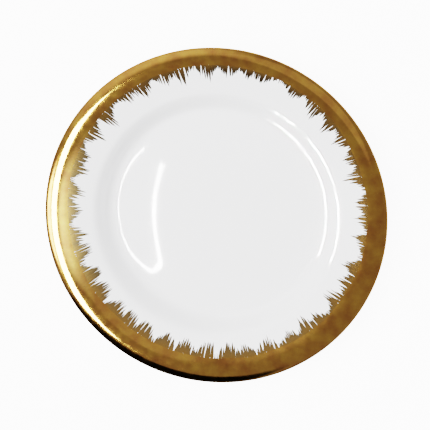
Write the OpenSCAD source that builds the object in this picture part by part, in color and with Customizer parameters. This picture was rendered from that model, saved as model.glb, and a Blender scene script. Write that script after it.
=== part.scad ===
// China dinner plate: a porcelain body under clear glaze, with a gilded rim whose
// inner edge is drawn out in brush strokes. The origin is the middle of the foot's
// resting ring, on the table, and +Z is up. Lengths are in millimetres.

/* [Plate] */
// Diameter across the gilded lip
plate_d = 270; // [250:1:290]
// Height of the rim's crest above the table
plate_h = 26; // [24:0.5:29]

/* [Well] */
// Diameter of the well, where the verge starts to rise
well_d = 160; // [152:1:162]
// Height of the well's edge above the table
well_z = 6.6; // [6.2:0.1:7.6]
// Rise of the well's middle above its edge
well_crown = 1; // [0:0.1:1.4]

/* [Rim] */
// Diameter where the verge ends and the rim begins
rim_d = 200; // [196:1:208]
// Slope up the rim, in degrees
rim_angle = 14; // [10:0.5:16]
// Width of the outer stretch that rolls over its crest and down to the lip
roll_w = 18; // [14:0.5:19]
// Slope down to the lip at the end of the roll, in degrees
edge_angle = 32; // [20:1:36]
// Radius of the rounded lip, under its gold
lip_r = 1.6; // [1.2:0.1:1.8]

/* [Wall] */
// Thickness of the glazed wall under the well and the verge
wall_t = 4.2; // [3.8:0.1:4.8]
// Thickness of the glaze
glaze_t = 0.3; // [0.2:0.05:0.4]

/* [Foot] */
// Outer diameter of the foot ring, where it leaves the wall
foot_d = 161; // [158:0.5:163]
// Width of the foot ring where it leaves the wall
foot_w = 7; // [6:0.5:8]
// Width that each side of the foot ring tapers by, down to the bare band
foot_taper = 1.6; // [1:0.1:1.8]
// Height of the bare band left by wiping the glaze off the foot
bare_h = 1.2; // [1:0.1:1.5]
// Radius of the foot's two resting edges
foot_edge_r = 0.8; // [0.5:0.1:0.9]

/* [Gilding] */
// Thickness of the gold
gold_t = 0.15; // [0.1:0.05:0.2]
// Inner diameter of the solid gold band
band_d = 235; // [230:1:238]
// Share of the lip's half round that the band covers before the edge line begins
band_share = 0.2; // [0.1:0.05:0.4]
// Width of the edge line on the back of the rim
edge_line_w = 2.5; // [1.5:0.1:4]

/* [Brush strokes] */
// Number of tufts of strokes round the band
tufts = 40; // [24:1:40]
// Strokes in a tuft
tuft_strokes = 4; // [2:1:5]
// Length of the longest stroke
stroke_l = 14; // [8:0.5:15]
// Width of a stroke at the band
stroke_w = 1.4; // [1:0.1:1.5]
// Width of a stroke at its tip
stroke_tip = 0.3; // [0.2:0.1:0.5]

/* [Hidden] */

$fn = 180;
face_steps = 60;      // straight steps from the middle of the face to the lip
lip_steps = 20;       // straight steps round the lip
edge_step = 15;       // degrees of the foot's edges between points
slope_probe = 0.05;   // half the width that a slope is measured over
stroke_pitch = 0.82;  // degrees between strokes in a tuft
stroke_gap = 0.1;     // between a stroke and the band, so that each is its own solid
stroke_lean = 5;      // most that a stroke leans from the radius, in degrees
shortest = 0.45;      // length of the shortest stroke, as a share of the longest

well_r = well_d / 2;
rim_r = rim_d / 2;
band_r = band_d / 2;
foot_r = foot_d / 2;
foot_inner_r = foot_r - foot_w;
face_r = plate_d / 2 - gold_t - lip_r * (1 - sin(edge_angle));   // where the face meets the lip
roll_r = face_r - roll_w;
turn = tan(rim_angle) + tan(edge_angle);                         // slope lost over the roll
crest_r = roll_r + roll_w * sqrt(tan(rim_angle) / turn);
back_r = face_r - 2 * lip_r * sin(edge_angle);                   // where the lip meets the back
band_steps = round(band_share * lip_steps);

porcelain_white = [0.95, 0.94, 0.92];
glaze_white = [0.92, 0.92, 0.93];
gold = [0.72, 0.52, 0.2];

// ---- the plate's outline ----

// 0 before the start, 1 after the end and smooth in slope and bend between them
function ease(u) = let (v = min(max(u, 0), 1)) v * v * v * (v * (6 * v - 15) + 10);

// Well: level at the middle and at its edge, and falling gently between them
function crown(r) = let (v = min(abs(r) / well_r, 1)) well_crown * pow(1 - pow(v, 4), 2);

// Rim: a straight slope that rolls over a crest and down to the lip
function rolled(r) = turn * roll_w / 3 * pow(max(r - roll_r, 0) / roll_w, 3);
function climb(r) = tan(rim_angle) * (r - roll_r) - rolled(r);
function rim(r) = plate_h - gold_t - climb(crest_r) + climb(r);

// Height of the face, which leaves the well for the rim through the verge
function face_z(r) =
    let (rise = ease((r - well_r) / (rim_r - well_r)))
    (well_z + crown(r)) * (1 - rise) + rim(r) * rise;

function face_slope(r) = atan((face_z(r + slope_probe) - face_z(r - slope_probe)) / slope_probe / 2);

// The wall thins from the rim's root to the lip
function wall(r) =
    let (thinning = ease((r - rim_r) / (face_r - rim_r)))
    wall_t * (1 - thinning) + 2 * lip_r * thinning;

// The point that lies a depth below the face, square to it. A negative depth stands proud.
function below(r, depth) =
    let (slope = face_slope(r))
    [r + depth * sin(slope), face_z(r) - depth * cos(slope)];

function steps(from, to) =
    let (n = max(ceil(abs(to - from) * face_steps / face_r), 1))
    [for (i = [0 : n]) from + (to - from) * i / n];

// Runs of points along the face, round the lip and along the back, outwards and then inwards
function face_points(depth, from) = [for (r = steps(from, face_r)) below(r, depth)];
function lip_points(depth, from, to) =
    let (middle = below(face_r, lip_r))
    [for (i = [from : to])
        let (a = edge_angle + 180 * i / lip_steps)
        middle + (lip_r - depth) * [sin(a), cos(a)]];
function back_points(depth, to) = [for (r = steps(face_r, to)) below(r, wall(r) - depth)];

// The back's points between two radii, and the back's height at a radius
function back_between(depth, inner, outer) =
    [for (p = back_points(depth, 0)) if (p[0] > inner && p[0] < outer) p];
function back_z(depth, r) = lookup(r, back_points(depth, 0));

function reversed(points) = [for (i = [len(points) - 1 : -1 : 0]) points[i]];

// Side of the foot ring from the wall to the bare band. side is 1 outside and -1 inside.
function foot_side(depth, side) =
    let (r = (side > 0 ? foot_r : foot_inner_r) - side * depth)
    [[r, back_z(depth, r)], [r - side * foot_taper, bare_h]];

// Rounded resting edge of the foot, under the side that ends at radius r
function foot_edge(r, side) =
    [for (a = [90 : -edge_step : 0])
        [r - side * foot_edge_r * (1 - sin(a)), foot_edge_r * (1 - cos(a))]];

// ---- the pieces ----

// Everything that the glaze covers from the middle of the face to the foot's bare band
function coat_run(depth) = concat(
    face_points(depth, 0),
    lip_points(depth, 1, lip_steps - 1),
    back_between(depth, foot_side(depth, 1)[0][0], plate_d),
    foot_side(depth, 1));

// Everything that the glaze covers inside the foot ring
function underside_run(depth) = concat(
    reversed(foot_side(depth, -1)),
    back_between(depth, -1, foot_side(depth, -1)[0][0]));

function band_run(depth) = concat(
    face_points(depth, band_r),
    lip_points(depth, 1, band_steps));

function edge_line_run(depth) = concat(
    lip_points(depth, band_steps, lip_steps - 1),
    back_between(depth, back_r - edge_line_w, plate_d));

// Jiggered body: the whole plate less its glaze, with the foot ring in one piece with it
module porcelain_body()
    color(porcelain_white)
        rotate_extrude()
            polygon(concat(
                coat_run(glaze_t),
                foot_edge(foot_side(glaze_t, 1)[1][0], 1),
                reversed(foot_edge(foot_side(glaze_t, -1)[1][0], -1)),
                underside_run(glaze_t)));

// A skin that lies between two runs of points
module skin(outer, inner)
    rotate_extrude()
        polygon(concat(outer, reversed(inner)));

// Glaze over the face, round the lip and down the back to the foot's bare band
module glaze_coat()
    color(glaze_white) skin(coat_run(0), coat_run(glaze_t));

// Glaze on the disc inside the foot ring
module underside_glaze()
    color(glaze_white) skin(underside_run(0), underside_run(glaze_t));

// Solid gold on the face of the rim
module gold_band()
    color(gold) skin(band_run(-gold_t), band_run(0));

// Gold line round the edge and just onto the back
module gold_edge_line()
    color(gold) skin(edge_line_run(-gold_t), edge_line_run(0));

// One tapered stroke, lying on the straight slope of the rim and pointing inwards
module stroke(length, lean)
    translate([band_r - stroke_gap, 0, face_z(band_r - stroke_gap)])
        rotate([0, -rim_angle, 0])
            rotate([0, 0, lean])
                linear_extrude(gold_t)
                    polygon([[0, -stroke_w / 2], [-length, -stroke_tip / 2],
                             [-length, stroke_tip / 2], [0, stroke_w / 2]]);

// Share between 0 and 1 that looks irregular from one stroke to the next
function scatter(tuft, i) = let (s = sin(tuft * 137 + i * 83) * 19) s - floor(s);

// Tufts of strokes all round the inner edge of the band
module brush_strokes()
    color(gold)
        for (tuft = [0 : tufts - 1], i = [0 : tuft_strokes - 1]) {
            angle = tuft * 360 / tufts + (i - (tuft_strokes - 1) / 2) * stroke_pitch;
            share = scatter(tuft, i);
            rotate([0, 0, angle])
                stroke(stroke_l * (shortest + (1 - shortest) * share), stroke_lean * (share - 0.5));
        }

porcelain_body();
glaze_coat();
underside_glaze();
gold_band();
gold_edge_line();
brush_strokes();
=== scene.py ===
# %% [markdown]
# # A gilded dinner plate
#
# This lesson dresses one porcelain dinner plate. The solid model gives its size and
# place, and Blender gives what the eye judges: a glassy white glaze, and bright gold
# whose inner edge is dragged out by the brush.
#
# The real plate is one fired body with layers on it, so the lesson makes it the same
# way: body, glaze, gold band, gold edge line, and hundreds of separate brush strokes.

# %% Load the frame
import math

import bmesh
import bpy
from mathutils import Matrix, Vector


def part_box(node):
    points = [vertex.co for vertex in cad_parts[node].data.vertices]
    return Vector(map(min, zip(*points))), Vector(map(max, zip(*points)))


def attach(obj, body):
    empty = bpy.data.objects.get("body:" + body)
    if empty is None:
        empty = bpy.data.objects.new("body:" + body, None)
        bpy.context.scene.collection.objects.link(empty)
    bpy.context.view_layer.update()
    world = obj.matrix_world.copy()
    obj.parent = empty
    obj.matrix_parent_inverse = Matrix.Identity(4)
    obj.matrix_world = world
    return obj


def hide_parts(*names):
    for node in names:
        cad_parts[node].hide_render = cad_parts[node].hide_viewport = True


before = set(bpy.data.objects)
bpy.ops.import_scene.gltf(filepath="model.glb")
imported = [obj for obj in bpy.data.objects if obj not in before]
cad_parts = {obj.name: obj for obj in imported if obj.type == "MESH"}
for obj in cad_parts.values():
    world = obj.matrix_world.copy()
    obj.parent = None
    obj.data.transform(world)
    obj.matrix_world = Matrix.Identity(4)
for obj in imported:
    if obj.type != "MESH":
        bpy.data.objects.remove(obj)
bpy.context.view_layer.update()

# %% [markdown]
# ## The outline that is turned
#
# A plate is jiggered: clay spins on a mould while a profile tool shapes its back. So
# everything round on it comes from one outline. The outside size is measured on the
# solid model, and the other sizes repeat the design. The face is a gently crowned
# well, a verge, and a rim that climbs straight and then rolls over to the lip.

# %% Sizes of the outline, in metres
MM = 0.001
GOLD = 0.15 * MM                                   # the gold's thickness in the solid model
GLAZE = 0.3 * MM
PLATE_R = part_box("gold_edge_line")[1].x
CREST_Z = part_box("gold_band")[1].z - GOLD          # the rim's highest ring, under its gold
WELL_R, WELL_Z, WELL_CROWN = 80 * MM, 6.6 * MM, 1.0 * MM
RIM_R = 100 * MM                                   # where the verge ends and the rim begins
RIM_ANGLE, EDGE_ANGLE = math.radians(14), math.radians(32)
ROLL_W = 18 * MM
LIP_R = 1.6 * MM
WALL = 4.2 * MM
FOOT_R, FOOT_W, FOOT_TAPER = 80.5 * MM, 7 * MM, 1.6 * MM
BARE_H, FOOT_EDGE_R = 1.2 * MM, 0.8 * MM

FACE_R = PLATE_R - GOLD - LIP_R * (1 - math.sin(EDGE_ANGLE))
ROLL_R = FACE_R - ROLL_W
TURN = math.tan(RIM_ANGLE) + math.tan(EDGE_ANGLE)
CREST_R = ROLL_R + ROLL_W * math.sqrt(math.tan(RIM_ANGLE) / TURN)
print(f"plate {2000 * PLATE_R:.1f} mm across, crest at {1000 * CREST_R:.1f} mm")


# %% The face as a height above the table at each radius
def ease(u):
    """A smooth step from 0 to 1, level at both ends."""
    u = min(max(u, 0), 1)
    return u ** 3 * (u * (6 * u - 15) + 10)


def climb(r):
    """The rim's height over the start of its roll: straight, then rolling over."""
    rolled = TURN * ROLL_W / 3 * (max(r - ROLL_R, 0) / ROLL_W) ** 3
    return math.tan(RIM_ANGLE) * (r - ROLL_R) - rolled


def face_z(r):
    well = WELL_Z + WELL_CROWN * (1 - min(abs(r) / WELL_R, 1) ** 4) ** 2
    rise = ease((r - WELL_R) / (RIM_R - WELL_R))
    return well * (1 - rise) + (CREST_Z - climb(CREST_R) + climb(r)) * rise


def face_slope(r, probe=0.05 * MM):
    return math.atan((face_z(r + probe) - face_z(r - probe)) / probe / 2)


def below(r, depth):
    """The point of the outline that lies a depth below the face, square to it."""
    slope = face_slope(r)
    return r + depth * math.sin(slope), face_z(r) - depth * math.cos(slope)


def wall(r):
    """The thickness, which goes from the wall's to the lip's across the rim."""
    thinning = ease((r - RIM_R) / (FACE_R - RIM_R))
    return WALL * (1 - thinning) + 2 * LIP_R * thinning


for place, r in (("middle", 0), ("verge's foot", WELL_R), ("verge's top", RIM_R), ("crest", CREST_R)):
    print(f"{place}: {face_z(r) / MM:.1f} mm above the table")


# %% [markdown]
# The layers share the outline. Each run of points takes a depth, so the body, the
# glaze and the gold are the same curve at three depths, and they can't drift apart.

# %% Runs of points along the face, round the lip and along the back
def steps(start, end, step):
    n = max(math.ceil(abs(end - start) / step), 1)
    return [start + (end - start) * i / n for i in range(n + 1)]


def face_run(depth, start, step):
    return [below(r, depth) for r in steps(start, FACE_R, step)]


def lip_run(depth, start, end, count=20):
    """Points round the lip. start and end are shares of its half round."""
    middle_r, middle_z = below(FACE_R, LIP_R)
    run = []
    for i in range(count + 1):
        turn = EDGE_ANGLE + math.pi * (start + (end - start) * i / count)
        run.append((middle_r + (LIP_R - depth) * math.sin(turn), middle_z + (LIP_R - depth) * math.cos(turn)))
    return run


def back_run(depth, inner, outer, step):
    """Points along the back whose radius lies between two radii."""
    run = [below(r, wall(r) - depth) for r in steps(FACE_R, 0, step)]
    return [p for p in run if inner < p[0] < outer]


def foot_side(depth, side):
    """Side of the foot ring: outside for side 1, inside for side -1."""
    r = (FOOT_R if side > 0 else FOOT_R - FOOT_W) - side * depth
    near, fine = 5 * MM, 0.5 * MM
    run = sorted(back_run(depth, r - near, r + near, fine))
    top = next(z for radius, z in run if radius >= r)
    return [(r, top), (r - side * FOOT_TAPER, BARE_H)]


def foot_edge(r, side, count=6):
    """The rounding at the bottom of one side of the foot ring, down to the table."""
    turns = [math.pi / 2 * (1 - i / count) for i in range(count + 1)]
    return [(r - side * FOOT_EDGE_R * (1 - math.sin(turn)), FOOT_EDGE_R * (1 - math.cos(turn)))
            for turn in turns]


def coat_run(depth, step):
    side = foot_side(depth, 1)
    return (face_run(depth, 0, step) + lip_run(depth, 0, 1)[1:-1]
            + back_run(depth, side[0][0], PLATE_R, 2 * step) + side)


def recess_run(depth, step):
    side = foot_side(depth, -1)
    return side[::-1] + back_run(depth, -1, side[0][0], 2 * step)


print(len(coat_run(0, MM)), "outline points over the coat,", len(recess_run(0, MM)), "over the recess")


# %% Compare the outline with the solid model's own glaze
def furthest(node):
    gap = 0
    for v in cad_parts[node].data.vertices:
        r = math.hypot(v.co.x, v.co.y)
        if v.co.z > face_z(r) - GLAZE / 2 and r < FACE_R - MM:
            gap = max(gap, abs(v.co.z - face_z(r)))
    return gap


print(f"solid model's face is within {1000 * furthest('glaze_coat'):.3f} mm of the outline")

# %% [markdown]
# ## A wheel made of nodes
#
# The outline becomes a solid in Geometry Nodes. A grid has one row for each outline
# point and one column for each step round. Each grid point looks up its outline point
# by number, and is turned to its own angle. Where the ends meet, and at the middle,
# the points are welded, so the solid is closed. A Spin in mesh code would do as well,
# but the tree keeps its number of steps as an input that can be changed later.

# %% A small helper that writes node trees
WELD = 1e-7                                        # points nearer than this become one
CREASE = math.radians(40)                          # edges sharper than this stay sharp


def enabled(sockets, name):
    """The socket in use, where a node has one of that name for each kind of data."""
    return next(s for s in sockets if s.enabled and s.name == name)


class Tree:
    """Adds nodes and links to a Geometry Nodes tree with short calls."""

    def __init__(self, name, inputs, outputs=(("Geometry", "Geometry"),)):
        self.tree = bpy.data.node_groups.new(name, "GeometryNodeTree")
        for in_out, sockets in (("INPUT", inputs), ("OUTPUT", outputs)):
            for label, kind in sockets:
                self.tree.interface.new_socket(label, in_out=in_out, socket_type="NodeSocket" + kind)
        self.inputs = self.tree.nodes.new("NodeGroupInput").outputs
        self.outputs = self.tree.nodes.new("NodeGroupOutput").inputs

    def set(self, socket, value):
        if isinstance(value, bpy.types.NodeSocket):
            self.tree.links.new(value, socket)
        else:
            socket.default_value = value

    def node(self, kind, *values, **settings):
        """A node with its settings made and its first sockets filled in order."""
        n = self.tree.nodes.new(kind)
        for key, value in settings.items():
            setattr(n, key, value)
        for socket, value in zip([s for s in n.inputs if s.enabled], values):
            self.set(socket, value)
        return n

    def calc(self, operation, *values):
        return self.node("ShaderNodeMath", *values, operation=operation).outputs[0]

    def plus(self, first, *others):
        for other in others:
            first = self.calc("ADD", first, other)
        return first

    def times(self, first, *others):
        for other in others:
            first = self.calc("MULTIPLY", first, other)
        return first

    def minus(self, a, b):
        return self.calc("SUBTRACT", a, b)

    def over(self, a, b):
        return self.calc("DIVIDE", a, b)

    def split(self, columns):
        """The row and the column of each point of a grid with so many columns."""
        index = self.node("GeometryNodeInputIndex").outputs[0]
        row = self.calc("FLOOR", self.over(self.plus(index, 0.5), columns))
        return row, self.minus(index, self.times(row, columns))

    def turned(self, radius, angle, height):
        """The position at a radius, an angle about Z and a height."""
        x = self.times(radius, self.calc("COSINE", angle))
        y = self.times(radius, self.calc("SINE", angle))
        return self.node("ShaderNodeCombineXYZ", x, y, height).outputs[0]

    def finish(self, geometry):
        """Weld, shade and give the finish to the geometry, and end the tree with it."""
        welded = self.node("GeometryNodeMergeByDistance", geometry)
        welded.inputs["Distance"].default_value = WELD
        faces_beside = self.node("GeometryNodeInputMeshEdgeNeighbors").outputs[0]
        bare = self.calc("LESS_THAN", faces_beside, 0.5)
        clean = self.node("GeometryNodeDeleteGeometry", welded.outputs[0], bare, domain="EDGE")
        angle = self.node("GeometryNodeInputMeshEdgeAngle").outputs["Unsigned Angle"]
        sharp = self.node("FunctionNodeCompare", angle, CREASE, data_type="FLOAT", operation="GREATER_THAN")
        smooth = self.node("GeometryNodeSetShadeSmooth", clean.outputs[0], True, True, domain="FACE")
        creased = self.node("GeometryNodeSetShadeSmooth", smooth.outputs[0], domain="EDGE")
        self.set(creased.inputs["Selection"], sharp.outputs[0])
        creased.inputs["Shade Smooth"].default_value = False
        real = self.node("GeometryNodeRealizeInstances", creased.outputs[0])
        painted = self.node("GeometryNodeSetMaterial", real.outputs[0])
        self.set(painted.inputs["Material"], self.inputs["Finish"])
        self.set(self.outputs["Geometry"], painted.outputs[0])
        return self.tree


# %% The wheel
def wheel_tree():
    t = Tree("wheel", [("Geometry", "Geometry"), ("Steps round", "Int"), ("Finish", "Material")])
    size = t.node("GeometryNodeAttributeDomainSize", t.inputs["Geometry"]).outputs["Point Count"]
    columns = t.plus(t.inputs["Steps round"], 1)
    grid = t.node("GeometryNodeMeshGrid", 1, 1, size, columns).outputs["Mesh"]
    row, column = t.split(columns)
    angle = t.over(t.times(column, math.tau), t.inputs["Steps round"])
    point = t.node("GeometryNodeSampleIndex", data_type="FLOAT_VECTOR", domain="POINT")
    t.set(point.inputs["Geometry"], t.inputs["Geometry"])
    t.set(enabled(point.inputs, "Value"), t.node("GeometryNodeInputPosition").outputs[0])
    t.set(point.inputs["Index"], row)
    place = t.node("ShaderNodeSeparateXYZ", point.outputs[0]).outputs
    turned = t.node("GeometryNodeSetPosition", grid)
    t.set(turned.inputs["Position"], t.turned(place["X"], angle, place["Z"]))
    return t.finish(turned.outputs[0])


# %% From a tree to a piece that rides on the plate
def socket_id(tree, name):
    return next(s.identifier for s in tree.interface.items_tree if s.name == name and s.in_out == "INPUT")


def new_object(name, data):
    piece = bpy.data.objects.new(name, data)
    bpy.context.scene.collection.objects.link(piece)
    return piece


def grow(name, tree, values, outline=()):
    """A plain mesh object made by a tree from an outline and the tree's named inputs."""
    line = bpy.data.meshes.new(name + "_outline")
    line.from_pydata([(r, 0, z) for r, z in outline], [(i, i + 1) for i in range(len(outline) - 1)], [])
    carrier = new_object(name + "_outline", line)
    modifier = carrier.modifiers.new("tree", "NODES")
    modifier.node_group = tree
    for label, value in values.items():
        modifier[socket_id(tree, label)] = value
    graph = bpy.context.evaluated_depsgraph_get()
    mesh = bpy.data.meshes.new_from_object(carrier.evaluated_get(graph), depsgraph=graph)
    bpy.data.objects.remove(carrier)
    outside = bmesh.new()
    outside.from_mesh(mesh)
    bmesh.ops.recalc_face_normals(outside, faces=outside.faces)
    outside.to_mesh(mesh)
    open_edges = sum(not e.is_manifold for e in outside.edges)
    outside.free()
    print(f"{name}: {len(mesh.polygons)} faces, {open_edges} open edges")
    return new_object(name, mesh)


def settle(piece, slot, *nodes):
    """Every piece of the plate rides on its one body and takes the place of its solids."""
    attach(piece, "root")
    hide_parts(*nodes)


# %% [markdown]
# ## Finishes
#
# Every finish below is a Principled shader with a few patterns wired into it. The
# patterns read Object coordinates, which are the plate's own metres. A speck is then
# the same size on every piece, and it stays with the plate when the camera moves.

# %% Short calls for shader nodes. The owner is a material, a lamp's data or a world
def new_material(name, **sockets):
    material = bpy.data.materials.new(name)
    material.use_nodes = True
    shader = material.node_tree.nodes["Principled BSDF"]
    for key, value in sockets.items():
        shader.inputs[key.replace("_", " ")].default_value = value
    return material, shader


def add(owner, kind, **settings):
    node = owner.node_tree.nodes.new(kind)
    for key, value in settings.items():
        if key in node.inputs:
            node.inputs[key].default_value = value
        else:
            setattr(node, key, value)
    return node


def join(owner, start, end):
    owner.node_tree.links.new(start, end)


def calc(owner, operation, *values):
    """A sum whose values are sockets or numbers."""
    node = add(owner, "ShaderNodeMath", operation=operation)
    for socket, value in zip(node.inputs, values):
        if isinstance(value, bpy.types.NodeSocket):
            join(owner, value, socket)
        else:
            socket.default_value = value
    return node.outputs[0]


def dot(owner, vector, towards):
    """How far a vector points along a direction."""
    node = add(owner, "ShaderNodeVectorMath", operation="DOT_PRODUCT")
    node.inputs[1].default_value = towards
    join(owner, vector, node.inputs[0])
    return node.outputs["Value"]


def to_range(owner, value, low, high, start=0.3, end=0.7, step="LINEAR"):
    """Maps a range of a value, at first a pattern's middle range, to low and high."""
    node = add(owner, "ShaderNodeMapRange", interpolation_type=step)
    for key, number in (("From Min", start), ("From Max", end), ("To Min", low), ("To Max", high)):
        node.inputs[key].default_value = number
    join(owner, value, node.inputs["Value"])
    return node.outputs["Result"]


def noise(owner, scale, detail=2.0, roughness=0.5):
    """A noise pattern in the piece's own space, in blobs of 1 / scale metres."""
    place = add(owner, "ShaderNodeTexCoord")
    pattern = add(owner, "ShaderNodeTexNoise", Scale=scale, Detail=detail, Roughness=roughness)
    join(owner, place.outputs["Object"], pattern.inputs["Vector"])
    return pattern.outputs["Fac"]


def blend(owner, share, low, high):
    """Mixes two colours by a share."""
    mix = add(owner, "ShaderNodeMix", data_type="RGBA")
    enabled(mix.inputs, "A").default_value = (*low, 1)
    enabled(mix.inputs, "B").default_value = (*high, 1)
    join(owner, share, enabled(mix.inputs, "Factor"))
    return enabled(mix.outputs, "Result")


def bump(material, shader, value, height):
    """Raises the surface by a pattern, up to a height in metres."""
    node = add(material, "ShaderNodeBump", Strength=1, Distance=height)
    join(material, value, node.inputs["Height"])
    join(material, node.outputs["Normal"], shader.inputs["Normal"])


# %% [markdown]
# Glaze is a skin of clear glass over a white body. One shader stands for both: a white
# base with a clean reflection on it. The glass is never quite level, so a very low,
# wide bump makes a lamp's image waver, and the roughness drifts a little.

# %% Glazed porcelain
def glazed_porcelain():
    material, shader = new_material("glazed_porcelain", IOR=1.52, Coat_Weight=0.3, Coat_Roughness=0.03)
    shade = blend(material, noise(material, 18), (0.80, 0.80, 0.81), (0.82, 0.82, 0.825))
    join(material, shade, shader.inputs["Base Color"])
    join(material, to_range(material, noise(material, 40), 0.03, 0.05), shader.inputs["Roughness"])
    bump(material, shader, noise(material, 90), 1.6e-5)
    return material


# %% [markdown]
# The foot's edge is wiped clean before the firing, so that the plate doesn't stick to
# the kiln shelf. Bare porcelain is matt, finely gritty and a little greyer from use.

# %% Bare porcelain
def bare_porcelain():
    material, shader = new_material("bare_porcelain", IOR=1.5)
    shade = blend(material, noise(material, 900, detail=6), (0.62, 0.60, 0.56), (0.74, 0.72, 0.69))
    join(material, shade, shader.inputs["Base Color"])
    join(material, to_range(material, noise(material, 1500), 0.5, 0.7), shader.inputs["Roughness"])
    bump(material, shader, noise(material, 2500, detail=4), 2e-5)
    return material


# %% [markdown]
# Bright gold is brushed on over the glaze as a brown resin and fired again. It is a
# film of metal that copies the glaze below, with thicker and thinner places where the
# brush overlapped. The shader is metallic, with two golds blended by a mottle. A clear
# coat over it keeps the lamps' reflections white.

# %% Gold lustre
def gold_lustre():
    material, shader = new_material("gold_lustre", Metallic=1.0, Coat_Weight=0.7, Coat_Roughness=0.06)
    mottle = to_range(material, noise(material, 90, detail=4), 0, 1)
    shade = blend(material, mottle, (0.46, 0.195, 0.048), (0.66, 0.36, 0.075))
    join(material, shade, shader.inputs["Base Color"])
    drift = to_range(material, noise(material, 150, detail=3), 0.08, 0.16)
    join(material, drift, shader.inputs["Roughness"])
    bump(material, shader, noise(material, 120, detail=3, roughness=0.6), 7.5e-5)
    return material


GLAZED, BARE, LUSTRE = glazed_porcelain(), bare_porcelain(), gold_lustre()
print("finishes:", ", ".join(m.name for m in (GLAZED, BARE, LUSTRE)))

# %% [markdown]
# ## Body, glaze and recess
#
# Three solids come off the wheel. The body is the whole section less the glaze. The
# coat is a closed skin from the middle of the well, over the lip and down the back to
# the foot. The recess is the skin inside the foot ring. Between them the foot is bare.

# %% Body, glaze and recess
WHEEL = wheel_tree()
ROUND = 360


def closed(outer, inner):
    return outer + inner[::-1] + outer[:1]


def turn_piece(name, slot, finish, outline):
    piece = grow(name, WHEEL, {"Steps round": ROUND, "Finish": finish}, outline)
    settle(piece, slot, name)
    return piece


outer_edge = foot_edge(foot_side(GLAZE, 1)[1][0], 1)
inner_edge = foot_edge(foot_side(GLAZE, -1)[1][0], -1)
turn_piece("porcelain_body", "porcelain", BARE,
           coat_run(GLAZE, 2 * MM) + outer_edge + inner_edge[::-1] + recess_run(GLAZE, 2 * MM))
coat = turn_piece("glaze_coat", "glaze", GLAZED, closed(coat_run(0, MM), coat_run(GLAZE, 4 * MM)))
turn_piece("underside_glaze", "glaze", GLAZED, closed(recess_run(0, MM), recess_run(GLAZE, 4 * MM)))

# %% [markdown]
# ## Gold edge line
#
# The painter rests a loaded brush on the turning lip, which lays an even line over the
# edge and a little way under it. It is round, so it comes off the wheel too: the same
# outline at the glaze's surface and one film above it.

# %% Gold edge line
FILM = 0.1 * MM
LIP_SHARE = 0.2                                    # of the lip's half round, left to the band
LINE_INNER = FACE_R - 2 * LIP_R * math.sin(EDGE_ANGLE) - 2.5 * MM


def edge_run(depth):
    return lip_run(depth, LIP_SHARE, 1)[:-1] + back_run(depth, LINE_INNER, PLATE_R, MM)


edge_line = turn_piece("gold_edge_line", "gold", LUSTRE, closed(edge_run(-FILM), edge_run(0)))

# %% [markdown]
# ## Where the gold ends
#
# The band was painted by hand, so its inner edge isn't a true circle. It sits a little
# off centre and wanders. The band and the strokes both have to know where it runs, so
# the rule is a small node group that both trees use: an angle goes in, a radius comes
# out.

# %% The brushed edge, shared by the band and the strokes
EDGE = {"Radius": 118.2 * MM, "Shift X": 1.5 * MM, "Shift Y": 3.6 * MM, "Wander": 3 * MM}


def edge_group():
    t = Tree("brushed_edge", [(label, "Float") for label in ("Angle", *EDGE)], [("Radius", "Float")])
    cosine, sine = t.calc("COSINE", t.inputs["Angle"]), t.calc("SINE", t.inputs["Angle"])
    ring = t.node("ShaderNodeCombineXYZ", cosine, sine, 0.0).outputs[0]
    pattern = t.node("ShaderNodeTexNoise", noise_dimensions="3D")
    t.set(pattern.inputs["Vector"], ring)
    pattern.inputs["Scale"].default_value = 5
    pattern.inputs["Detail"].default_value = 3
    wander = t.times(t.minus(pattern.outputs["Fac"], 0.5), t.inputs["Wander"])
    shifted = t.plus(t.times(cosine, t.inputs["Shift X"]), t.times(sine, t.inputs["Shift Y"]))
    t.set(t.outputs["Radius"], t.plus(t.inputs["Radius"], t.plus(wander, shifted)))
    return t.tree


BRUSHED_EDGE = edge_group()


def edge_radius(t, angle):
    group = t.node("GeometryNodeGroup", node_tree=BRUSHED_EDGE)
    t.set(group.inputs["Angle"], angle)
    for label, value in EDGE.items():
        group.inputs[label].default_value = value
    return group.outputs[0]


print("the gold ends by", ", ".join(f"{label} {value / MM:.1f} mm" for label, value in EDGE.items()))

# %% [markdown]
# ## The gold band
#
# The film is closed like a flat sock: it runs out along the top of the gold and back
# along the glaze. The tree samples the rim's outline as a curve, starting from the
# wandering edge at each angle, and lifts the upper half by the film's thickness. A
# wheel couldn't do this, since the film's width changes as it goes round.

# %% The gold band: a sheet laid on the rim and folded back under itself
BAND_START = 108 * MM                              # where the outline it samples begins


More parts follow.
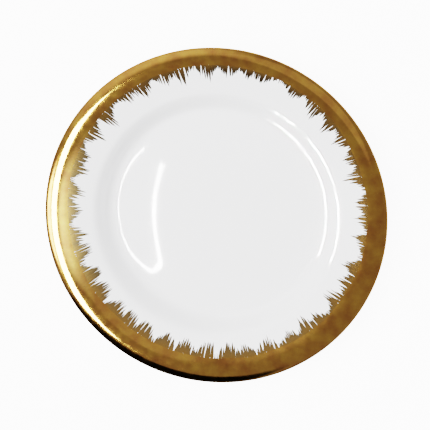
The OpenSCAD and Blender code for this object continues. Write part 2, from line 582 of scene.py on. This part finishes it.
def band_tree():
    t = Tree("gilding", [("Geometry", "Geometry"), ("Rows", "Int"), ("Steps round", "Int"),
                         ("Film", "Float"), ("Finish", "Material")])
    curve = t.node("GeometryNodeMeshToCurve", t.inputs["Geometry"]).outputs[0]
    length = t.node("GeometryNodeCurveLength", curve).outputs[0]
    columns = t.plus(t.inputs["Steps round"], 1)
    loop = t.times(t.inputs["Rows"], 2)
    grid = t.node("GeometryNodeMeshGrid", 1, 1, t.plus(loop, 1), columns).outputs["Mesh"]
    row, column = t.split(columns)
    angle = t.over(t.times(column, math.tau), t.inputs["Steps round"])

    step = t.calc("MODULO", row, loop)
    on_top = t.calc("LESS_THAN", step, t.minus(t.inputs["Rows"], 0.5))
    underneath = t.minus(t.minus(loop, 1), step)
    along = t.plus(t.times(on_top, step), t.times(t.minus(1.0, on_top), underneath))
    share = t.over(along, t.minus(t.inputs["Rows"], 1))
    start = t.over(t.minus(edge_radius(t, angle), BAND_START), math.cos(RIM_ANGLE))
    sample = t.node("GeometryNodeSampleCurve", mode="LENGTH", data_type="FLOAT")
    t.set(sample.inputs["Curves"], curve)
    t.set(sample.inputs["Length"], t.plus(start, t.times(share, t.minus(length, start))))

    place = t.node("ShaderNodeSeparateXYZ", sample.outputs["Position"]).outputs
    tangent = t.node("ShaderNodeSeparateXYZ", sample.outputs["Tangent"]).outputs
    lift = t.times(t.inputs["Film"], on_top)
    radius = t.minus(place["X"], t.times(lift, tangent["Z"]))
    height = t.plus(place["Z"], t.times(lift, tangent["X"]))
    laid = t.node("GeometryNodeSetPosition", grid)
    t.set(laid.inputs["Position"], t.turned(radius, angle, height))
    return t.finish(laid.outputs[0])


band = grow("gold_band", band_tree(), {"Rows": 28, "Steps round": 1080, "Film": FILM, "Finish": LUSTRE},
            face_run(0, BAND_START, 0.25 * MM) + lip_run(0, 0, LIP_SHARE)[1:])
settle(band, "gold", "gold_band")

# %% [markdown]
# ## Brush strokes
#
# A stiff brush is pulled in from the band, again and again, and each pull leaves a tuft
# of pointed marks, longest near its middle. A painted mask would give the colour but
# no shape, so each mark is a small closed spindle on the rim. The tree places tufts
# round the edge, gives each mark its length, width and lean from seeded random values,
# and bends one spindle to each of them.

# %% Values carried from point to point, and seeded chance
def store(t, geometry, values):
    """Writes numbers on the points of a geometry, each under its name."""
    for name, value in values.items():
        n = t.node("GeometryNodeStoreNamedAttribute", data_type="FLOAT", domain="POINT")
        t.set(n.inputs["Geometry"], geometry)
        n.inputs["Name"].default_value = name
        t.set(enabled(n.inputs, "Value"), value)
        geometry = n.outputs[0]
    return geometry


def stored(t, name):
    n = t.node("GeometryNodeInputNamedAttribute", data_type="FLOAT")
    n.inputs["Name"].default_value = name
    return enabled(n.outputs, "Attribute")


def chance(t, low, high, item, step):
    """A random number for each item. Each use has its own step from the tree's seed."""
    n = t.node("FunctionNodeRandomValue", data_type="FLOAT")
    seed = t.plus(t.inputs["Seed"], step)
    for name, value in (("Min", low), ("Max", high), ("ID", item), ("Seed", seed)):
        t.set(enabled(n.inputs, name), value)
    return enabled(n.outputs, "Value")


# %% Where each mark starts, and how long, wide and slanted it is
VERGE_GAP = 2 * MM                                 # the marks stop this far outside the verge
HEAVY_SIDE = 4.1                                   # the angle where the marks are longest


def mark_values(t):
    per_tuft = t.inputs["Strokes in a tuft"]
    index = t.node("GeometryNodeInputIndex").outputs[0]
    tuft, inside = t.split(per_tuft)
    share = t.over(t.plus(inside, 0.5), per_tuft)
    pitch = t.over(math.tau, t.inputs["Tufts"])
    middle = t.times(pitch, t.plus(tuft, chance(t, -0.22, 0.22, tuft, 1)))
    within = t.minus(t.plus(share, chance(t, -0.05, 0.05, index, 2)), 0.5)
    angle = t.plus(middle, t.times(within, t.inputs["Spread"], pitch))

    peak = chance(t, 0.3, 0.7, tuft, 3)
    away = t.calc("ABSOLUTE", t.minus(share, peak))
    hump = t.calc("MAXIMUM", t.minus(1.0, t.times(away, 1.75)), 0.0)
    size = t.times(hump, chance(t, 0.5, 1.0, index, 4), chance(t, 0.5, 1.1, tuft, 5))
    shortest, longest = t.inputs["Shortest"], t.inputs["Longest"]
    length = t.plus(shortest, t.times(size, t.minus(longest, shortest)))
    side = t.plus(0.8, t.times(0.2, t.calc("COSINE", t.minus(angle, HEAVY_SIDE))))
    room = t.over(t.minus(edge_radius(t, angle), RIM_R + VERGE_GAP), math.cos(RIM_ANGLE))
    slant = t.plus(chance(t, -1.0, 1.0, tuft, 7), chance(t, -0.6, 0.6, index, 8))
    return {"angle": angle, "length": t.calc("MINIMUM", t.times(length, side), room),
            "width": t.times(t.inputs["Width"], chance(t, 0.6, 1.2, index, 6)),
            "lean": t.times(t.inputs["Lean"], slant)}


# %% One spindle: a sheet whose columns close into a tube, with a place for each point
SPINDLE_ROWS, SPINDLE_SIDES = 7, 4


def spindle(t):
    columns = SPINDLE_SIDES + 1
    sheet = t.node("GeometryNodeMeshGrid", 1, 1, SPINDLE_ROWS, columns).outputs["Mesh"]
    row, column = t.split(columns)
    turn = t.times(column, math.tau / SPINDLE_SIDES)
    return store(t, sheet, {"reach": t.over(row, SPINDLE_ROWS - 1),
                            "across": t.calc("COSINE", turn), "up": t.calc("SINE", turn)})


# %% Every spindle bent onto the rim
ROOT = 1.5 * MM                                    # a mark starts this far back in the band


def rim_height(t, radius):
    """The same sum as face_z outside the verge, in nodes."""
    rolled_off = t.calc("POWER", t.calc("MAXIMUM", t.minus(radius, ROLL_R), 0.0), 3.0)
    straight = t.times(t.minus(radius, ROLL_R), math.tan(RIM_ANGLE))
    climbed = t.minus(straight, t.times(rolled_off, TURN / 3 / ROLL_W ** 2))
    return t.plus(climbed, CREST_Z - climb(CREST_R))


def stroke_tree():
    t = Tree("strokes", [("Geometry", "Geometry"), ("Tufts", "Int"), ("Strokes in a tuft", "Int"),
                         ("Spread", "Float"), ("Shortest", "Float"), ("Longest", "Float"),
                         ("Width", "Float"), ("Lean", "Float"), ("Film", "Float"), ("Seed", "Int"),
                         ("Finish", "Material")])
    dots = t.node("GeometryNodeMeshLine", mode="OFFSET")
    t.set(dots.inputs["Count"], t.times(t.inputs["Tufts"], t.inputs["Strokes in a tuft"]))
    laid = t.node("GeometryNodeInstanceOnPoints", store(t, dots.outputs[0], mark_values(t)))
    t.set(laid.inputs["Instance"], spindle(t))
    real = t.node("GeometryNodeRealizeInstances", laid.outputs[0]).outputs[0]

    reach, angle = stored(t, "reach"), stored(t, "angle")
    rooted = t.calc("MINIMUM", t.times(reach, 8.0), 1.0)
    plump = t.times(rooted, t.calc("POWER", t.minus(1.0, reach), 0.65))
    inward = t.minus(t.times(reach, t.plus(stored(t, "length"), ROOT)), ROOT)
    radius = t.minus(edge_radius(t, angle), t.times(inward, math.cos(RIM_ANGLE)))
    half_width = t.times(stored(t, "width"), 0.5)
    sideways = t.plus(t.times(t.times(stored(t, "across"), plump), half_width),
                      t.times(stored(t, "lean"), inward))
    height = t.plus(rim_height(t, radius), t.times(stored(t, "up"), plump, t.inputs["Film"]))
    bent = t.node("GeometryNodeSetPosition", real)
    t.set(bent.inputs["Position"], t.turned(radius, t.plus(angle, t.over(sideways, radius)), height))
    return t.finish(bent.outputs[0])


# %% [markdown]
# A mark is thin where the brush leaves the glaze, and thin gold fires pale and brown.
# The tree writes how far along its mark each point is, and the finish reads that.

# %% Thin gold, and the two sizes of mark
def thin_gold():
    material, shader = new_material("thin_gold", Metallic=1.0, Roughness=0.22,
                                    Coat_Weight=0.7, Coat_Roughness=0.06)
    reach = add(material, "ShaderNodeAttribute", attribute_name="reach")
    shade = blend(material, reach.outputs["Fac"], (0.54, 0.28, 0.065), (0.25, 0.195, 0.115))
    join(material, shade, shader.inputs["Base Color"])
    bump(material, shader, noise(material, 600), 2e-5)
    return material


THIN = thin_gold()
STROKES = stroke_tree()
strokes = grow("brush_strokes", STROKES, {
    "Tufts": 42, "Strokes in a tuft": 17, "Spread": 0.95, "Shortest": 3.5 * MM, "Longest": 27 * MM,
    "Width": 2.4 * MM, "Lean": 0.12, "Film": 0.07 * MM, "Seed": 3, "Finish": THIN})
settle(strokes, "gold", "brush_strokes")
fringe = grow("brush_fringe", STROKES, {
    "Tufts": 460, "Strokes in a tuft": 1, "Spread": 1.0, "Shortest": 2 * MM, "Longest": 7 * MM,
    "Width": 1.4 * MM, "Lean": 0.12, "Film": 0.06 * MM, "Seed": 11, "Finish": THIN})
settle(fringe, "gold", "brush_strokes")

strokes_top = max(v.co.z for v in strokes.data.vertices)
strokes_in = min(math.hypot(v.co.x, v.co.y) for v in strokes.data.vertices)
print(f"marks reach in to {strokes_in / MM:.1f} mm and up to {strokes_top / MM:.1f} mm")

# %% [markdown]
# ## Camera
#
# The plate is seen from above and a little to one side, by a long lens from far away,
# so its outline stays almost a circle. The lens is worked out from the width that the
# frame has to hold.

# %% Camera
TILT = math.radians(16.3)                          # away from straight above
TOWARDS = math.radians(61.6)                       # the side it leans to
DISTANCE = 2.4
FRAME_WIDTH = 0.33555                              # metres across the frame, at the plate
FRAME_MIDDLE, FRAME_SHIFT = Vector((0, 0, 0.024)), 0.0022
SENSOR = 36

back = Vector((math.cos(TOWARDS) * math.sin(TILT), math.sin(TOWARDS) * math.sin(TILT), math.cos(TILT)))
up = (Vector((0, 1, 0)) - back * back.y).normalized()
camera_data = bpy.data.cameras.new("camera")
camera_data.sensor_width, camera_data.lens = SENSOR, SENSOR * DISTANCE / FRAME_WIDTH
camera = new_object("camera", camera_data)
camera.matrix_world = Matrix((up.cross(back), up, back)).transposed().to_4x4()
camera.location = FRAME_MIDDLE + up * FRAME_SHIFT + back * DISTANCE
bpy.context.scene.camera = camera
print(f"lens {camera_data.lens:.0f} mm at {DISTANCE} m")

# %% [markdown]
# ## Floor
#
# The plate stands on a white sweep that has no edge or shadow of its own, so the floor
# shines for the camera only. For glossy rays its colour is painted nearly black near the
# front: a painted dark reflection, which puts the dark line that sets off a bright lip.

# %% Floor
GROUND = 4                                         # how brightly the camera sees the surroundings
FLOOR_HALF = 6
# The painted dark reflection lies on the floor's front, against this direction, and only glossy rays see it
BACKWARDS = (0.42, 0.91, 0)                        # the floor gets dark against this direction
DARK_FROM, DARK_TO = -0.10, -0.16


def lay_floor():
    h = FLOOR_HALF
    mesh = bpy.data.meshes.new("floor")
    mesh.from_pydata([(-h, -h, 0), (h, -h, 0), (h, h, 0), (-h, h, 0)], [], [(0, 1, 2, 3)])
    material, shader = new_material("floor", Roughness=0.8, Emission_Color=(1, 1, 1, 1))
    path = add(material, "ShaderNodeLightPath").outputs
    place = add(material, "ShaderNodeTexCoord").outputs["Object"]
    front = to_range(material, dot(material, place, BACKWARDS), 1, 0, start=DARK_TO, end=DARK_FROM)
    # Painted dark reflection: glossy rays find the floor nearly black near the front, so the lip mirrors a
    # dark line
    painted_dark_reflection = calc(material, "MULTIPLY", front, path["Is Glossy Ray"])
    join(material, blend(material, painted_dark_reflection, (0.9, 0.9, 0.9), (0.01, 0.01, 0.01)), shader.inputs["Base Color"])
    shine = calc(material, "MULTIPLY", path["Is Camera Ray"], GROUND)
    join(material, shine, shader.inputs["Emission Strength"])
    mesh.materials.append(material)
    new_object("floor", mesh)


lay_floor()
print(f"floor {2 * FLOOR_HALF} m square, level with the bottom of the foot")

# %% [markdown]
# ## Lamps
#
# A glazed plate is a set of curved mirrors, and its highlights are pictures of lamps.
# So each lamp is placed backwards: pick the spot on the face where its picture has to
# lie, mirror the camera's line of sight there, and put the lamp on that line.

# %% A lamp, placed by where its mirror image has to lie
def seen_in(azimuth, radius, distance):
    """The spot on the face, and the place at a distance that is mirrored in it."""
    slope, turn = face_slope(radius), math.radians(azimuth)
    outwards = Vector((math.cos(turn), math.sin(turn), 0))
    normal = Vector((0, 0, math.cos(slope))) - outwards * math.sin(slope)
    spot = outwards * radius + Vector((0, 0, face_z(radius)))
    sight = (camera.location - spot).normalized()
    return spot, spot + (2 * normal.dot(sight) * normal - sight) * distance


def lamp(name, place, target, size, radiance, spread=180, along=(0, 1, 0), tint=(1, 1, 1), soft=False,
         only=(), diffuse=False, glossy=True):
    """A rectangular lamp of a given brightness, with its long side along a direction."""
    data = bpy.data.lights.new(name, "AREA")
    data.shape, data.size, data.size_y = "RECTANGLE", size[0], size[1]
    data.energy = radiance * math.pi * size[0] * size[1]
    data.spread, data.color = math.radians(spread), tint
    light = new_object(name, data)
    z = (place - target).normalized()
    x = Vector(along).cross(z).normalized()
    light.matrix_world = Matrix.Translation(place) @ Matrix((x, z.cross(x), z)).transposed().to_4x4()
    light.visible_camera, light.visible_diffuse, light.visible_glossy = False, diffuse, glossy
    if soft:
        fade_to_edges(data)
    if only:
        light.light_linking.receiver_collection = bpy.data.collections.new(name + "_lights")
        for piece in only:
            light.light_linking.receiver_collection.objects.link(piece)


def fade_to_edges(data):
    """A soft lamp is brightest in its middle."""
    data.use_nodes = True
    across = add(data, "ShaderNodeSeparateXYZ")
    join(data, add(data, "ShaderNodeNewGeometry").outputs["Parametric"], across.inputs[0])
    shares = [to_range(data, calc(data, "PINGPONG", side, 0.5), 0, 1, start=0, end=0.4, step="SMOOTHSTEP")
              for side in across.outputs[:2]]
    join(data, calc(data, "MULTIPLY", *shares), data.node_tree.nodes["Emission"].inputs["Strength"])


def tube(name, spots, distance, width, radiance, spread):
    """Short lamps end to end, so that their image runs through spots on the glaze."""
    places = [seen_in(azimuth, radius, distance) for azimuth, radius in spots]
    for i, ((spot, start), (next_spot, end)) in enumerate(zip(places, places[1:])):
        lamp(f"{name}_{i}", (start + end) / 2, (spot + next_spot) / 2, (width, 0.98 * (end - start).length),
             radiance, spread=spread, along=end - start, only=[coat])


# %% [markdown]
# A bent tube draws the closed loop in the well, and two windows draw the arcs on the
# far verge. A long panel makes the crescent on the gold, and a soft card lights the gold
# beside it. The key lamp gives the white body its light and is in no reflection.

# %% Lamps
tube("tube_left", [(140, 0.058), (155, 0.0535), (172, 0.051), (190, 0.0515), (207, 0.055), (225, 0.0665)],
     distance=1.0, width=0.0022, radiance=22, spread=40)
tube("window_left", [(azimuth, 0.0857) for azimuth in range(-22, 63, 12)],
     distance=1.1, width=0.013, radiance=450, spread=60)
tube("window_bar", [(azimuth, 0.0885) for azimuth in range(2, 47, 11)],
     distance=1.1, width=0.008, radiance=120, spread=60)
panel_spot, panel_place = seen_in(185, 0.1275, 0.33)
lamp("panel_left", place=panel_place + Vector((0, 0.015, 0)), target=panel_spot, size=(0.15, 0.33),
     radiance=40, tint=(0.8, 0.9, 1), only=[band, edge_line])
lamp("card_left", place=Vector((-0.105, -0.03, 0.122)), target=Vector((-0.12, 0, 0.02)), size=(0.07, 0.10),
     radiance=0.8, spread=90, tint=(0.7, 0.87, 1), soft=True, only=[band, strokes, fringe])
lamp("key", place=Vector((-0.7, 0.5, 1.8)), target=Vector((0, 0, 0)), size=(1.4, 1.4), radiance=9,
     diffuse=True, glossy=False)

# %% [markdown]
# ## The room
#
# Metal has no colour of its own to show, only the room's. The world is a dim room with
# a few bright and dark patches in set directions for the gold to reflect. The camera
# and the white body each see a plain, even white instead.

# %% World
FILL = 0.95                                        # the even white that lights the body
ROOM, DARKEST = 0.30, 0.01
# Each patch: its direction, the two angles in degrees it fades between, and its strength.
BRIGHT = [((-0.76, -0.25, 0.58), 7, 14, 9), ((-0.5, 0.55, 0.66), 5, 38, 0.7),
          ((0.25, 0.30, 0.92), 20, 22, 0.20)]
DARK = [((-0.28, -0.85, 0.45), 20, 26, 1), ((-0.55, -0.75, 0.25), 12, 20, 1)]


def room():
    world = bpy.data.worlds.new("room")
    world.use_nodes = True
    direction = add(world, "ShaderNodeTexCoord").outputs["Generated"]

    def patch(towards, inner, outer, value):
        """A value near a direction, which fades to 0 between two angles from it."""
        start, end = math.cos(math.radians(outer)), math.cos(math.radians(inner))
        near = dot(world, direction, Vector(towards).normalized())
        return to_range(world, near, 0, value, start=start, end=end, step="SMOOTHSTEP")

    glow, light = ROOM, 1.0
    for bright in BRIGHT:
        glow = calc(world, "ADD", glow, patch(*bright))
    for dark in DARK:
        light = calc(world, "SUBTRACT", light, patch(*dark))
    seen = calc(world, "MULTIPLY", glow, calc(world, "MAXIMUM", light, DARKEST))
    path = add(world, "ShaderNodeLightPath").outputs
    camera_ray, diffuse_ray = path["Is Camera Ray"], path["Is Diffuse Ray"]
    plain = calc(world, "ADD", calc(world, "MULTIPLY", camera_ray, GROUND),
                 calc(world, "MULTIPLY", diffuse_ray, FILL))
    others = calc(world, "SUBTRACT", 1.0, calc(world, "MAXIMUM", camera_ray, diffuse_ray))
    background = world.node_tree.nodes["Background"].inputs
    join(world, calc(world, "ADD", plain, calc(world, "MULTIPLY", others, seen)), background["Strength"])
    background["Color"].default_value = (1, 1, 1, 1)
    bpy.context.scene.world = world


room()
print(f"{len(BRIGHT)} bright and {len(DARK)} dark patches in a room of {ROOM}")
view = bpy.context.scene.view_settings
view.view_transform, view.look = "Filmic", "High Contrast"
